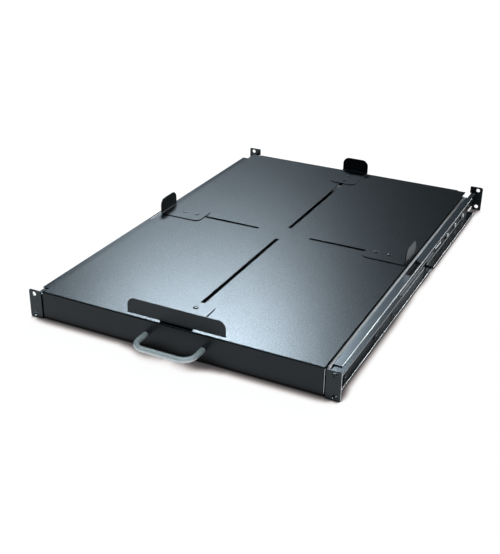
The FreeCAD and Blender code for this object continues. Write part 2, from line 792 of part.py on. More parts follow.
def put(piece, across, along, turn):
    """Set a stop's piece at its place on the tray's top, turned about the upright axis."""
    piece.Placement = FreeCAD.Placement(FreeCAD.Vector(), FreeCAD.Rotation(FreeCAD.Vector(0, 0, 1), turn))
    piece.setExpression("Placement.Base.x", bind(across))
    piece.setExpression("Placement.Base.y", bind(along))
    piece.setExpression("Placement.Base.z", bind("tray_rise"))


def make_stop(label, across, along, turn, upright_width, upright_low):
    """Bent plate with an upright and a foot, its two screws and the clamp plate under the tray."""
    bend = "(bend_inside + stop_gauge)"
    half = "stop_width/2"
    body = new_body(f"{label}_stop")
    fold = [
        ("0", "0", bend),
        (f"2*{bend}", "0"),
        (f"2*{bend}", "stop_gauge"),
        ("stop_gauge", "stop_gauge", "bend_inside"),
        ("stop_gauge", f"2*{bend}"),
        ("0", f"2*{bend}"),
    ]
    extrude(body, "x", f"-{half}", half, fold)
    upright = [
        (f"-{upright_width}/2", upright_low),
        (f"{upright_width}/2", upright_low),
        (f"{upright_width}/2", "stop_height", "stop_round"),
        (f"-{upright_width}/2", "stop_height", "stop_round"),
    ]
    extrude(body, "y", "0", "stop_gauge", upright)
    foot = [
        (f"-{half}", bend),
        (half, bend),
        (half, "stop_length", "foot_round"),
        (f"-{half}", "stop_length", "foot_round"),
    ]
    extrude(body, "z", "0", "stop_gauge", foot)
    bores = [("0", place, screw_bore) for place in ("near_screw", "far_screw")]
    cut(body, "z", 1, *bores)
    clamp = new_body(f"{label}_stop_clamp")
    plate = [
        ("-clamp_width/2", "near_screw - clamp_margin", "bend_inside"),
        ("clamp_width/2", "near_screw - clamp_margin", "bend_inside"),
        ("clamp_width/2", "far_screw + clamp_margin", "bend_inside"),
        ("-clamp_width/2", "far_screw + clamp_margin", "bend_inside"),
    ]
    extrude(clamp, "z", "-tray_gauge - clamp_gauge", "-tray_gauge", plate)
    cut(clamp, "z", -1, *bores)
    seats = [FreeCAD.Vector(0, size(place), size("stop_gauge")) for place in ("near_screw", "far_screw")]
    screws = screw_set(f"{label}_stop_screws", seats, FreeCAD.Vector(0, 0, -1),
                       "stop_head", "stop_head_rise", "stop_gauge + tray_gauge + clamp_gauge")
    for piece in (body, clamp, screws):
        put(piece, across, along, turn)


for side, sign in SIDES:
    make_main_rail(side, sign)
    make_front_bracket(side, sign)
    make_rear_bracket(side, sign)
    make_rail_fasteners(side, sign)
    make_outer_slide(side, sign)
    make_bumper(side, sign)
    make_middle_slide(side, sign)
    make_inner_slide(side, sign)
    outer_arm = f"({outer_lip} - cage_play)"
    inner_arm = f"({middle_lip} - cage_play)"
    outer_cage_web = "(outer_gauge + cage_play)"
    inner_cage_web = f"({middle_web} + middle_gauge + cage_play)"
    make_cage(f"{side}_outer", sign, outer_cage_web, outer_arm, outer_ball_level,
              "outer_ball", "outer_ball_inset")
    make_cage(f"{side}_inner", sign, inner_cage_web, inner_arm, inner_ball_level,
              "inner_ball", "inner_ball_inset")
    make_tray_channel(side, sign)

make_tray()
make_panel()
make_handle()
stop_bend = "(bend_inside + stop_gauge)"
make_stop("front", "0", "front_stop_at", 0, "bar_width", "bar_lift")
make_stop("rear", "0", "tray_depth - rear_stop_inset", 180, "stop_width", stop_bend)
for side, sign in SIDES:
    side_place = f"{sign}*(tray_width/2 - {side}_stop_inset)"
    make_stop(side, side_place, "side_slot_at", sign*90, "stop_width", stop_bend)
doc.recompute()

for item in doc.Objects:
    if "Invalid" in item.State or "Error" in item.State:
        raise ValueError(f"{item.Label} could not be computed")
os.makedirs("parts", exist_ok=True)
for piece in pieces:
    if piece.Shape.isNull() or not piece.Shape.isValid() or not piece.Shape.Solids:
        raise ValueError(f"{piece.Label} has no sound shape")
    piece.Shape.exportStep(f"parts/{piece.Label}.step")
print(len(pieces), "pieces written")
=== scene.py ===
import math

import bmesh
import bpy
from mathutils import Matrix, Vector


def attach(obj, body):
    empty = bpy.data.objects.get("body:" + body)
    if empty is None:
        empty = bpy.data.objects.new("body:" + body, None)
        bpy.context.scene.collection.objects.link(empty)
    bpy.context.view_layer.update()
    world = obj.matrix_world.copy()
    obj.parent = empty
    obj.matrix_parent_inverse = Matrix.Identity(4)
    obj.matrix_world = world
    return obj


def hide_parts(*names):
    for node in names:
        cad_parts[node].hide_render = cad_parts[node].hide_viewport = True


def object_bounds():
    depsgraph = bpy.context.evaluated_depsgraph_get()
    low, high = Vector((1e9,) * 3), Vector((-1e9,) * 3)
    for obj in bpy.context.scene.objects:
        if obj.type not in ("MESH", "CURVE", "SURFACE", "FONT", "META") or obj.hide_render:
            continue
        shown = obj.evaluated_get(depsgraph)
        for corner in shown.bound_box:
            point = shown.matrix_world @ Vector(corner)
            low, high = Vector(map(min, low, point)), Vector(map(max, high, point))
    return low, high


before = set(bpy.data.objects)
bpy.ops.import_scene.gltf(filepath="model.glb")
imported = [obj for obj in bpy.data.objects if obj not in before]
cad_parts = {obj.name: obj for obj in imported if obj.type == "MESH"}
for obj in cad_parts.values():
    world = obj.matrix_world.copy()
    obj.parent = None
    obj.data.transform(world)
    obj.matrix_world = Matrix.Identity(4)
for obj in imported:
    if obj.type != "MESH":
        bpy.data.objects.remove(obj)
cad_low, cad_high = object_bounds()


# Main rails: two long channels folded from steel sheet, open to the outside of the rack.
# They are powder coated in fine charcoal, and the thin edges of the flanges are rubbed bright.
# Everything that stays in the rack is fixed to them.
rail_gauge = 0.0015
rail_ease = 0.00045
rail_lip = 0.2322
rail_charcoal = {
    "deep": (0.005, 0.007, 0.009),
    "worn": (0.009, 0.012, 0.015),
    "grain": 0.0012,
    "peel": 0.20,
}
right_rail_ior = 1.65
rubbed_steel = (0.90, 0.93, 0.95)
rubbed_steel_dull = (0.66, 0.69, 0.71)
facing = 0.9


def set_inputs(tree, node, values):
    """Each input named is set to its value, or linked to the output that it is given."""
    for name, value in values.items():
        if isinstance(value, bpy.types.NodeSocket):
            tree.links.new(value, node.inputs[name])
        else:
            node.inputs[name].default_value = value


def add_node(tree, kind, values=None, **settings):
    """A new node with its settings and its inputs."""
    node = tree.nodes.new(kind)
    for name, value in settings.items():
        setattr(node, name, value)
    set_inputs(tree, node, values or {})
    return node


def start_finish(name):
    """A new material: its node tree, its shader and the piece's own coordinates."""
    finish = bpy.data.materials.new(name)
    finish.use_nodes = True
    tree = finish.node_tree
    place = add_node(tree, "ShaderNodeTexCoord").outputs["Object"]
    return finish, tree, tree.nodes["Principled BSDF"], place


def place_along(tree, axis):
    """The piece's own coordinate along one axis."""
    place = add_node(tree, "ShaderNodeTexCoord").outputs["Object"]
    return add_node(tree, "ShaderNodeSeparateXYZ", {"Vector": place}).outputs[axis]


def speckle(tree, place, grain, detail=2.0, stretch=(1.0, 1.0, 1.0)):
    """Noise whose grain is in metres, drawn out along an axis where stretch is above one."""
    scale = [1.0 / (grain * share) for share in stretch]
    mapping = add_node(tree, "ShaderNodeMapping", {"Vector": place, "Scale": scale})
    noise = add_node(
        tree,
        "ShaderNodeTexNoise",
        {"Vector": mapping.outputs["Vector"], "Scale": 1.0, "Detail": detail},
    )
    return noise.outputs["Fac"]


def spread(tree, value, low, high, start=0.3, end=0.7):
    """A value from start to end, laid out between two numbers."""
    ramp = add_node(
        tree,
        "ShaderNodeMapRange",
        {"Value": value, "From Min": start, "From Max": end, "To Min": low, "To Max": high},
    )
    return ramp.outputs["Result"]


def tint(tree, value, first, second, start=0.3, end=0.7):
    """A value from start to end, as a colour between two tones."""
    ramp = add_node(tree, "ShaderNodeValToRGB", {"Fac": value})
    low, high = ramp.color_ramp.elements
    low.position, low.color = start, (*first, 1.0)
    high.position, high.color = end, (*second, 1.0)
    return ramp.outputs["Color"]


def raise_skin(tree, height, strength, depth):
    """The surface's direction under a bump that is depth metres high."""
    values = {"Height": height, "Strength": strength, "Distance": depth}
    return add_node(tree, "ShaderNodeBump", values).outputs["Normal"]


def powder_coat(name, deep, worn, grain, rough, gloss, peel):
    """Stoved powder coat: two near tones, an orange-peel skin and a slightly uneven, cool gloss."""
    cloud_size = 0.035
    uneven = 0.015
    cool_sheen = (0.77, 0.90, 1.0, 1.0)
    peel_depth = grain * 0.15
    finish, tree, shader, place = start_finish(name)
    cloud = speckle(tree, place, cloud_size, detail=4.0)
    skin = speckle(tree, place, grain, detail=1.0)
    values = {
        "Base Color": tint(tree, cloud, deep, worn),
        "Roughness": spread(tree, skin, rough - uneven, rough + uneven),
        "Specular IOR Level": gloss,
        "Specular Tint": cool_sheen,
        "Normal": raise_skin(tree, skin, peel, peel_depth),
    }
    set_inputs(tree, shader, values)
    return finish


def rubbed_edge(name, bright, dull, rough):
    """Steel that shows where the coat is thin along an edge, in short bright and dull stretches."""
    wear_size = 0.012
    wear_stretch = (1.0, 2.5, 1.0)
    finish, tree, shader, place = start_finish(name)
    wear = speckle(tree, place, wear_size, detail=5.0, stretch=wear_stretch)
    values = {
        "Base Color": tint(tree, wear, dull, bright, start=0.35, end=0.6),
        "Roughness": spread(tree, wear, rough + 0.12, rough - 0.05),
        "Metallic": 1.0,
    }
    set_inputs(tree, shader, values)
    return finish


def shade_rearwards(finish, start, end, share):
    """Painted shade: the colour falls to a share of itself from one place along the slide to
    another.
    """
    tree = finish.node_tree
    shader = tree.nodes["Principled BSDF"]
    colour = shader.inputs["Base Color"].links[0].from_socket
    fall = spread(tree, place_along(tree, "Y"), 1.0, share, start, end)
    dim = add_node(tree, "ShaderNodeVectorMath", {0: colour, "Scale": fall}, operation="SCALE")
    set_inputs(tree, shader, {"Base Color": dim.outputs["Vector"]})


def is_sheet_edge(face, gauge):
    """True for a flat strip as narrow as the sheet is thick: the sheet's cut edge."""
    widest = gauge * 1.1
    shortest = gauge * 4
    square = 0.99
    spans = []
    for axis in range(3):
        places = [vert.co[axis] for vert in face.verts]
        spans.append(max(places) - min(places))
    spans.sort()
    along_axis = max(abs(part) for part in face.normal) > square
    return along_axis and spans[1] < widest and spans[2] > shortest


def eased_sheet(node, skin, edge, ease, gauge=0.0, rubbed=None):
    """A piece made from its solid: joined up, its sharp edges eased, the eased strips in the edge
    finish. Where rubbed is given, only edges whose middle it accepts are eased."""
    weld = 0.000002
    flat = math.radians(0.5)
    sharp_from = math.radians(32)
    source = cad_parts[node]
    mesh = source.data.copy()
    mesh.transform(source.matrix_world)
    mesh.materials.clear()
    mesh.materials.append(skin)
    mesh.materials.append(edge)
    shell = bmesh.new()
    shell.from_mesh(mesh)
    bmesh.ops.remove_doubles(shell, verts=shell.verts, dist=weld)
    bmesh.ops.dissolve_limit(shell, angle_limit=flat, verts=shell.verts, edges=shell.edges)
    for face in shell.faces:
        face.smooth = True
        worn = rubbed is None or rubbed(face.calc_center_median())
        face.material_index = 1 if gauge and worn and is_sheet_edge(face, gauge) else 0
    shares = []
    for side in shell.edges:
        sharp = len(side.link_faces) == 2 and side.calc_face_angle() > sharp_from
        worn = sharp and (rubbed is None or rubbed((side.verts[0].co + side.verts[1].co) / 2))
        side.smooth = worn or not sharp
        shares.append(1.0 if worn else 0.0)
    shell.to_mesh(mesh)
    shell.free()
    mesh.attributes.new("bevel_weight_edge", "FLOAT", "EDGE").data.foreach_set("value", shares)
    piece = bpy.data.objects.new(f"{node}_sheet", mesh)
    bpy.context.collection.objects.link(piece)
    bevel = piece.modifiers.new("ease", "BEVEL")
    bevel.width = ease
    bevel.segments = 2
    bevel.limit_method = "WEIGHT"
    bevel.use_clamp_overlap = False
    bevel.material = 1
    level = piece.modifiers.new("level", "WEIGHTED_NORMAL")
    level.mode = "FACE_AREA"
    level.weight = 100
    level.keep_sharp = True
    made = piece.evaluated_get(bpy.context.evaluated_depsgraph_get())
    eased = bpy.data.meshes.new_from_object(made)
    piece.modifiers.clear()
    piece.data = eased
    return piece


def recoat(piece, finish, picks):
    """The faces that picks accepts take another finish."""
    piece.data.materials.append(finish)
    for face in piece.data.polygons:
        if picks(face):
            face.material_index = len(piece.data.materials) - 1


def fit(piece, body, node):
    """The finished piece rides on its body and stands for its solids."""
    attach(piece, body)
    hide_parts(node)


def on_rail_lip(spot):
    """True on the outer edges of a rail's flanges, where hands and the rack rub the coat thin."""
    return abs(spot.x) > rail_lip


def in_rail_web(face):
    """True for the web's outer face, deep in the channel, where the coat stays dull."""
    outward = face.normal.x if face.center.x > 0 else -face.normal.x
    return outward > facing and not on_rail_lip(face.center)


left_rail_skin = powder_coat("left_rail_charcoal", rough=0.31, gloss=0.36, **rail_charcoal)
right_rail_skin = powder_coat("rail_charcoal", rough=0.31, gloss=0.85, **rail_charcoal)
right_rail_skin.node_tree.nodes["Principled BSDF"].inputs["IOR"].default_value = right_rail_ior
rail_web = powder_coat("rail_web", rough=0.34, gloss=0.08, **rail_charcoal)
rail_rub_and_shade = rubbed_edge("rail_rubbed_edge_and_shade", rubbed_steel, rubbed_steel_dull, rough=0.42)
# Painted shade: the rubbed edges of the rails darken towards the rear.
shade_rearwards(rail_rub_and_shade, start=0.12, end=0.45, share=0.42)
for side, skin in (("left", left_rail_skin), ("right", right_rail_skin)):
    node = f"{side}_main_rail"
    rail = eased_sheet(node, skin, rail_rub_and_shade, rail_ease, rail_gauge, on_rail_lip)
    recoat(rail, rail_web, in_rail_web)
    fit(rail, "rails", node)


# Brackets: the front and rear channels that lie in the rails and end in the ears with the rack's
# holes. They are folded from thicker sheet and coated as the rails are; the front ones are fixed
# and the rear ones slide to suit the depth of the rack.
bracket_gauge = 0.0018
bracket_ease = 0.00030
bracket_charcoal = {
    "deep": (0.007, 0.009, 0.010),
    "worn": (0.013, 0.015, 0.017),
    "grain": 0.0012,
    "peel": 0.20,
}
bracket_steel = (0.78, 0.81, 0.83)
bracket_steel_dull = (0.50, 0.53, 0.55)
front_ear_depth = 0.004
rear_ear_depth = 0.714
ear_rim = 0.2405
tab_start = 0.425
tab_end = 0.465


def fade_gloss(finish, low, gloss_low, high, gloss_high):
    """The gloss of an upright face runs from one value to another between two heights."""
    tree = finish.node_tree
    gloss = spread(tree, place_along(tree, "Z"), gloss_low, gloss_high, low, high)
    set_inputs(tree, tree.nodes["Principled BSDF"], {"Specular IOR Level": gloss})


def on_bracket_lip(spot):
    """True on the lower flange's edge, the rear bracket's tab and the outer rims of the ears."""
    on_ear = abs(spot.x) > ear_rim
    on_tab = tab_start < spot.y < tab_end
    return on_ear or (abs(spot.x) > rail_lip and (spot.z < 0 or on_tab))


def in_bracket_web(face):
    """True for the upright web inside the channel."""
    return abs(face.normal.x) > facing and abs(face.center.x) < rail_lip


def on_ear_face(face):
    """True for the front and back of an ear."""
    in_ear = face.center.y < front_ear_depth or face.center.y > rear_ear_depth
    return abs(face.normal.y) > facing and in_ear


bracket_skin = powder_coat("bracket_charcoal", rough=0.28, gloss=0.90, **bracket_charcoal)
bracket_ear = powder_coat("bracket_ear_charcoal", rough=0.32, gloss=0.48, **bracket_charcoal)
bracket_web = powder_coat("bracket_web", rough=0.34, gloss=0.10, **bracket_charcoal)
fade_gloss(bracket_web, low=-0.004, gloss_low=0.14, high=0.004, gloss_high=0.002)
bracket_rub = rubbed_edge("bracket_rubbed_edge", bracket_steel, bracket_steel_dull, rough=0.40)
for side in ("left", "right"):
    brackets = {
        f"{side}_front_bracket": ("rails", bracket_skin),
        f"{side}_rear_bracket": (f"{side}_rear_bracket", bracket_ear),
    }
    for node, (body, skin) in brackets.items():
        bracket = eased_sheet(node, skin, bracket_rub, bracket_ease, bracket_gauge, on_bracket_lip)
        recoat(bracket, bracket_web, in_bracket_web)
        recoat(bracket, bracket_ear, on_ear_face)
        fit(bracket, body, node)


# Rail screws: zinc plated pan heads with a cross recess, driven from outside through the brackets.
# Two on each side hold the front bracket, and three clamp the rear one where it has been set.
# A row has the place of its first screw along the rail, its pitch and its count.
rail_screw_face = 0.2233
rail_screw_height = -0.011
rail_screw_rows = {"front_screws": (0.060, 0.120, 2), "adjust_screws": (0.548, 0.050, 3)}
rail_screw_head = (0.0042, 0.0024)
rail_screw_shank = (0.0022, 0.0033)
zinc_bright = (0.90, 0.93, 0.95)
zinc_dull = (0.74, 0.78, 0.80)


def work_out(tree, kind, first, second=0.0):
    """One step of arithmetic in a tree, with values that are sockets or numbers."""
    values = {0: first, 1: second}
    return add_node(tree, "ShaderNodeMath", values, operation=kind).outputs["Value"]


def start_tree(name, inputs):
    """A new tree: the tree, its input sockets, and the identifier of each input by its name."""
    tree = bpy.data.node_groups.new(name, "GeometryNodeTree")
    names = {}
    for label, kind in inputs.items():
        socket = tree.interface.new_socket(label, in_out="INPUT", socket_type=f"NodeSocket{kind}")
        names[label] = socket.identifier
    tree.interface.new_socket("Geometry", in_out="OUTPUT", socket_type="NodeSocketGeometry")
    return tree, tree.nodes.new("NodeGroupInput").outputs, names


def row_of_points(tree, count, first, step):
    """A straight row of points."""
    values = {"Count": count, "Start Location": first, "Offset": step}
    return add_node(tree, "GeometryNodeMeshLine", values, mode="OFFSET").outputs["Mesh"]


def end_tree(tree, instances, finish):
    """The end of a tree: its instances made real, in their finish."""
    real = add_node(tree, "GeometryNodeRealizeInstances", {"Geometry": instances})
    values = {"Geometry": real.outputs["Geometry"], "Material": finish}
    dressed = add_node(tree, "GeometryNodeSetMaterial", values)
    add_node(tree, "NodeGroupOutput", {"Geometry": dressed.outputs["Geometry"]})


def turned_outline(tree, down, shares):
    """One share along a turned piece's outline, on a line through evenly spaced points."""
    curve = add_node(tree, "ShaderNodeFloatCurve", {"Value": down})
    line = curve.mapping.curves[0]
    points = [(number / (len(shares) - 1), share) for number, share in enumerate(shares)]
    line.points[0].location = points[0]
    line.points[1].location = points[-1]
    for point in points[1:-1]:
        line.points.new(*point)
    for point in line.points:
        point.handle_type = "VECTOR"
    curve.mapping.update()
    return curve.outputs["Value"]


def screw_tree():
    """Tree for a row of pan head screws: head and shank turned in one, with a cross recess."""
    inputs = {
        "Count": "Int",
        "First": "Vector",
        "Step": "Vector",
        "Turn": "Vector",
        "Head Radius": "Float",
        "Head Rise": "Float",
        "Shank Radius": "Float",
        "Shank Reach": "Float",
        "Seed": "Int",
        "Finish": "Material",
    }
    tree, given, names = start_tree("screw_row", inputs)
    # The outline runs from the top of the head to the tip. Each point has its shares of the
    # head's radius, the shank's radius, the head's rise and the shank's reach.
    outline = (
        (0.00, 0.00, 1.00, 0.0),
        (0.62, 0.00, 0.97, 0.0),
        (0.88, 0.00, 0.86, 0.0),
        (0.98, 0.00, 0.66, 0.0),
        (1.00, 0.00, 0.42, 0.0),
        (1.00, 0.00, 0.00, 0.0),
        (0.00, 1.00, 0.00, 0.0),
        (0.00, 1.00, 0.00, 0.9),
        (0.00, 0.82, 0.00, 1.0),
        (0.00, 0.00, 0.00, 1.0),
    )
    sides = 24
    weld = 0.000005
    recess_length = 1.15
    recess_width = 0.26
    values = {
        "Size X": 1.0,
        "Size Y": 1.0,
        "Vertices X": len(outline),
        "Vertices Y": sides + 1,
    }
    blank = add_node(tree, "GeometryNodeMeshGrid", values)
    position = add_node(tree, "GeometryNodeInputPosition").outputs["Position"]
    spot = add_node(tree, "ShaderNodeSeparateXYZ", {"Vector": position}).outputs
    down = work_out(tree, "ADD", spot["X"], 0.5)
    turn = work_out(tree, "MULTIPLY", spot["Y"], 2 * math.pi)
    head, shank, rise, reach = [turned_outline(tree, down, shares) for shares in zip(*outline)]
    head = work_out(tree, "MULTIPLY", head, given["Head Radius"])
    shank = work_out(tree, "MULTIPLY", shank, given["Shank Radius"])
    rise = work_out(tree, "MULTIPLY", rise, given["Head Rise"])
    reach = work_out(tree, "MULTIPLY", reach, given["Shank Reach"])
    radius = work_out(tree, "ADD", head, shank)
    values = {
        "X": work_out(tree, "MULTIPLY", radius, work_out(tree, "COSINE", turn)),
        "Y": work_out(tree, "MULTIPLY", radius, work_out(tree, "SINE", turn)),
        "Z": work_out(tree, "SUBTRACT", rise, reach),
    }
    place = add_node(tree, "ShaderNodeCombineXYZ", values)
    values = {"Geometry": blank.outputs["Mesh"], "Position": place.outputs["Vector"]}
    turned = add_node(tree, "GeometryNodeSetPosition", values)
    values = {"Geometry": turned.outputs["Geometry"], "Distance": weld}
    closed = add_node(tree, "GeometryNodeMergeByDistance", values)
    values = {"Mesh 1": closed.outputs["Geometry"]}
    cutter = add_node(tree, "GeometryNodeMeshBoolean", values, operation="DIFFERENCE")
    lift = add_node(tree, "ShaderNodeCombineXYZ", {"Z": given["Head Rise"]})
    long_way = work_out(tree, "MULTIPLY", given["Head Radius"], recess_length)
    cross_way = work_out(tree, "MULTIPLY", given["Head Radius"], recess_width)
    for across, aside in ((long_way, cross_way), (cross_way, long_way)):
        values = {"X": across, "Y": aside, "Z": given["Head Rise"]}
        size = add_node(tree, "ShaderNodeCombineXYZ", values)
        blade = add_node(tree, "GeometryNodeMeshCube", {"Size": size.outputs["Vector"]})
        values = {"Geometry": blade.outputs["Mesh"], "Translation": lift.outputs["Vector"]}
        raised = add_node(tree, "GeometryNodeTransform", values)
        set_inputs(tree, cutter, {"Mesh 2": raised.outputs["Geometry"]})
    values = {
        "Points": row_of_points(tree, given["Count"], given["First"], given["Step"]),
        "Instance": cutter.outputs["Mesh"],
        "Rotation": given["Turn"],
    }
    seated = add_node(tree, "GeometryNodeInstanceOnPoints", values)
    # The sockets of a random number and of a mix share their names, so they go by number.
    values = {2: 0.0, 3: math.pi / 2, "Seed": given["Seed"]}
    driven = add_node(tree, "FunctionNodeRandomValue", values, data_type="FLOAT")
    twist = add_node(tree, "ShaderNodeCombineXYZ", {"Z": driven.outputs[1]})
    values = {
        "Instances": seated.outputs["Instances"],
        "Rotation": twist.outputs["Vector"],
        "Local Space": True,
    }
    spun = add_node(tree, "GeometryNodeRotateInstances", values)
    end_tree(tree, spun.outputs["Instances"], given["Finish"])
    return tree, names


def grown_piece(name, maker, values, smooth):
    """A piece that a tree makes from named values, turned into a plain mesh."""
    tree, names = maker
    piece = bpy.data.objects.new(name, bpy.data.meshes.new(name))
    bpy.context.collection.objects.link(piece)
    grower = piece.modifiers.new("grower", "NODES")
    grower.node_group = tree
    for key, value in values.items():
        grower[names[key]] = value
    made = piece.evaluated_get(bpy.context.evaluated_depsgraph_get())
    mesh = bpy.data.meshes.new_from_object(made)
    piece.modifiers.clear()
    mesh.polygons.foreach_set("use_smooth", [True] * len(mesh.polygons))
    mesh.set_sharp_from_angle(angle=math.radians(smooth))
    piece.data = mesh
    return piece


def screw_row(node, first, step, count, heading, head, shank, finish, seed):
    """A node's row of screws: head is (radius, rise) and shank is (radius, reach)."""
    values = {
        "Count": count,
        "First": first,
        "Step": step,
        "Turn": Vector((0, 0, 1)).rotation_difference(Vector(heading)).to_euler(),
        "Head Radius": head[0],
        "Head Rise": head[1],
        "Shank Radius": shank[0],
        "Shank Reach": shank[1],
        "Seed": seed,
        "Finish": finish,
    }
    return grown_piece(f"{node}_row", screw_maker, values, smooth=30)


def plated_zinc(name, bright, dull, rough, metal=1.0):
    """Zinc plate: a soft metal shine with cloudy duller patches and fine handling marks."""
    cloud_size = 0.004
    mark_size = 0.0006
    mark_depth = 0.0001
    finish, tree, shader, place = start_finish(name)
    cloud = speckle(tree, place, cloud_size, detail=4.0)
    marks = speckle(tree, place, mark_size, detail=3.0)
    values = {
        "Base Color": tint(tree, cloud, dull, bright),
        "Roughness": spread(tree, cloud, rough + 0.1, rough - 0.04),
        "Metallic": metal,
        "Normal": raise_skin(tree, marks, 0.12, mark_depth),
    }
    set_inputs(tree, shader, values)
    return finish


screw_maker = screw_tree()
screw_zinc = plated_zinc("screw_zinc", zinc_bright, zinc_dull, rough=0.26, metal=0.1)
for side, sign in (("left", -1), ("right", 1)):
    for name, (along, pitch, count) in rail_screw_rows.items():
        node = f"{side}_{name}"
        screws = screw_row(
            node,
            first=(sign * rail_screw_face, along, rail_screw_height),
            step=(0, pitch, 0),
            count=count,
            heading=(sign, 0, 0),
            head=rail_screw_head,
            shank=rail_screw_shank,
            finish=screw_zinc,
            seed=3,
        )
        fit(screws, "rails", node)


# Slides: three rolled steel members on each side, one in the other, bright zinc with drawn lines
# along their length. The outer one is riveted to the rail, with a rubber bumper on its rear tab,
# the middle one floats, and the inner one is screwed to the tray.
member_ease = 0.00018
bumper_ease = 0.0004
rolled_bright = (0.74, 0.73, 0.74)
rolled_dull = (0.60, 0.59, 0.60)
edge_bright = (0.70, 0.69, 0.70)
edge_dull = (0.56, 0.55, 0.56)
# Painted light: the outer members' zinc is a lighter copy of the others', making up for the key
# lamp that the tray's edge keeps off it.
outer_lit_bright = (0.92, 0.91, 0.92)
outer_lit_dull = (0.78, 0.77, 0.78)
lip_shade_black = (0.006, 0.006, 0.006, 1.0)
lip_shade_gloss = 0.10
lip_open_gloss = 0.50
rubber_black = {
    "deep": (0.012, 0.012, 0.012),
    "worn": (0.022, 0.022, 0.021),
    "grain": 0.0009,
    "peel": 0.25,
}


def rolled_zinc(name, bright, dull, rough, metal=1.0):
    """Rolled and plated strip: streaks drawn out along the member over a cloudy plate."""
    streak_size = 0.0011
    streak_stretch = (1.0, 90.0, 1.0)
    streak_depth = 0.0001
    cloud_size = 0.02
    cloud_stretch = (1.0, 2.0, 1.0)
    finish, tree, shader, place = start_finish(name)
    streak = speckle(tree, place, streak_size, detail=3.0, stretch=streak_stretch)
    cloud = speckle(tree, place, cloud_size, detail=4.0, stretch=cloud_stretch)
    values = {
        "Base Color": tint(tree, streak, dull, bright),
        "Roughness": spread(tree, cloud, rough - 0.06, rough + 0.1),
        "Metallic": metal,
        "Normal": raise_skin(tree, streak, 0.18, streak_depth),
    }
    set_inputs(tree, shader, values)
    return finish


def lip_shade_line(finish, start, end):
    """Painted shade: a dark, less glossy line along the lip that faces the tray, under the tray's
    edge, gone from one distance across to the other.
    """
    tree = finish.node_tree
    shader = tree.nodes["Principled BSDF"]
    plate = shader.inputs["Base Color"].links[0].from_socket
    across = work_out(tree, "ABSOLUTE", place_along(tree, "X"))
    unshaded = spread(tree, across, 0.0, 1.0, start, end)
    values = {0: unshaded, 6: lip_shade_black, 7: plate}
    lip_shade_mix = add_node(tree, "ShaderNodeMix", values, data_type="RGBA")
    values = {
        "Base Color": lip_shade_mix.outputs[2],
        "Specular IOR Level": spread(tree, unshaded, lip_shade_gloss, lip_open_gloss, 0.0, 1.0),
    }
    set_inputs(tree, shader, values)


def paint(node, finish):
    """A solid that is kept as it is gets its finish."""
    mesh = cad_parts[node].data
    for number in range(len(mesh.materials)):
        mesh.materials[number] = finish


slide_skin = rolled_zinc("slide_rolled_zinc", rolled_bright, rolled_dull, rough=0.50, metal=0.4)
slide_rub = rolled_zinc("slide_edge", edge_bright, edge_dull, rough=0.40, metal=0.4)
outer_zinc_light_and_shade = rolled_zinc("outer_slide_zinc_light_and_shade", outer_lit_bright, outer_lit_dull, rough=0.50, metal=0.2)
# Painted shade: the outer members darken towards the rear.
shade_rearwards(outer_zinc_light_and_shade, start=0.40, end=0.62, share=0.25)
# Painted shade: a dark line along the lip under the tray's edge.
lip_shade_line(outer_zinc_light_and_shade, start=0.2160, end=0.2166)
bumper_skin = powder_coat("bumper_rubber_black", rough=0.72, gloss=0.35, **rubber_black)
for side in ("left", "right"):
    members = {
        f"{side}_outer_slide": ("rails", outer_zinc_light_and_shade),
        f"{side}_middle_slide": (f"{side}_middle_slide", slide_skin),
        f"{side}_inner_slide": ("tray", slide_skin),
    }
    for node, (body, skin) in members.items():
        fit(eased_sheet(node, skin, slide_rub, member_ease), body, node)
    paint(f"{side}_slide_rivets", screw_zinc)
    node = f"{side}_slide_bumper"
    fit(eased_sheet(node, bumper_skin, bumper_skin, bumper_ease), "rails", node)


# Ball cages: thin stamped strips that keep the balls apart, one pair of rows between each two
# members. The balls are polished bearing steel, seven in a row, and roll in the members' lips.
# A pair of rows has its distance across, its rise above and below the middle, and its ball radius.
ball_first = 0.204
ball_pitch = 0.042
balls_in_row = 7
ball_rows = {"outer": (0.2150, 0.0141, 0.0020), "inner": (0.2138, 0.0092, 0.0015)}
slide_middle = -0.002
cage_bright = (0.60, 0.59, 0.56)
cage_dull = (0.42, 0.42, 0.40)
ball_bright = (0.82, 0.83, 0.85)
ball_dull = (0.74, 0.75, 0.77)


def ball_tree():
    """Tree for an upper and a lower row of balls."""
    inputs = {
        "Count": "Int",
        "Upper": "Vector",
        "Lower": "Vector",
        "Step": "Vector",
        "Radius": "Float",
        "Finish": "Material",
    }
    tree, given, names = start_tree("ball_rows", inputs)
    both = add_node(tree, "GeometryNodeJoinGeometry")
    for first in (given["Upper"], given["Lower"]):
        row = row_of_points(tree, given["Count"], first, given["Step"])
        set_inputs(tree, both, {"Geometry": row})
    values = {"Subdivisions": 3, "Radius": given["Radius"]}
    ball = add_node(tree, "GeometryNodeMeshIcoSphere", values)
    values = {"Points": both.outputs["Geometry"], "Instance": ball.outputs["Mesh"]}
    seated = add_node(tree, "GeometryNodeInstanceOnPoints", values)
    end_tree(tree, seated.outputs["Instances"], given["Finish"])
    return tree, names


ball_maker = ball_tree()
cage_skin = rolled_zinc("cage_stamped_steel", cage_bright, cage_dull, rough=0.36)
ball_skin = plated_zinc("ball_polished_steel", ball_bright, ball_dull, rough=0.10)
for side, sign in (("left", -1), ("right", 1)):
    for member, (across, rise, radius) in ball_rows.items():
        cage = f"{side}_{member}_cage"
        paint(cage, cage_skin)
        values = {
            "Count": balls_in_row,
            "Upper": (sign * across, ball_first, slide_middle + rise),
            "Lower": (sign * across, ball_first, slide_middle - rise),
            "Step": (0, ball_pitch, 0),
            "Radius": radius,
            "Finish": ball_skin,
        }
        node = f"{side}_{member}_balls"
        balls = grown_piece(f"{node}_rows", ball_maker, values, smooth=60)
        fit(balls, cage, node)


